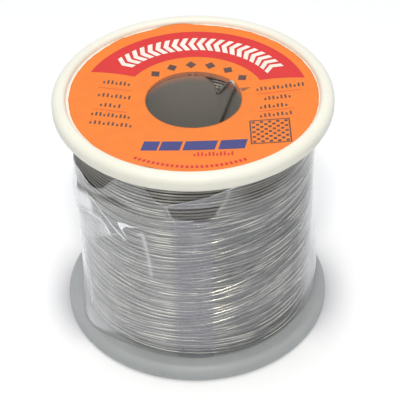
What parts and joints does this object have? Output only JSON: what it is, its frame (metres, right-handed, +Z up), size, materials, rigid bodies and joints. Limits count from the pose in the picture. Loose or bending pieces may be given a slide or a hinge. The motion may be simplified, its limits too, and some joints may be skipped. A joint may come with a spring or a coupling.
{
  "type": "solder wire spool",
  "caption": "Moulded plastic spool wound full of fine flux-cored solder wire under clear film, with a paper label in the sunk face of its top flange.",
  "frame": {"origin": "on the spool's axis, in the plane that the bottom rim stands on", "axes": "+Z up along the spool's axis, towards the labelled flange; the wire notches point mostly along +X"},
  "size_m": [0.062, 0.062, 0.06],
  "materials": {
    "spool_plastic": "cream moulded plastic, slightly translucent, satin",
    "solder": "drawn tin-lead wire, satin, a little dulled",
    "flux_resin": "amber resin",
    "clear_film": "clear stretched film, glossy, with creases",
    "label_paper": null
  },
  "bodies": {
    "root": {"bottom_flange": "spool_plastic", "core_tube": "spool_plastic", "inner_wire_layers": "solder", "outer_wire_layer": "solder", "wire_start_tail": "solder", "flux_core": "flux_resin", "film_wrap": "clear_film", "top_flange": "spool_plastic", "top_label": "label_paper"}
  },
  "joints": []
}
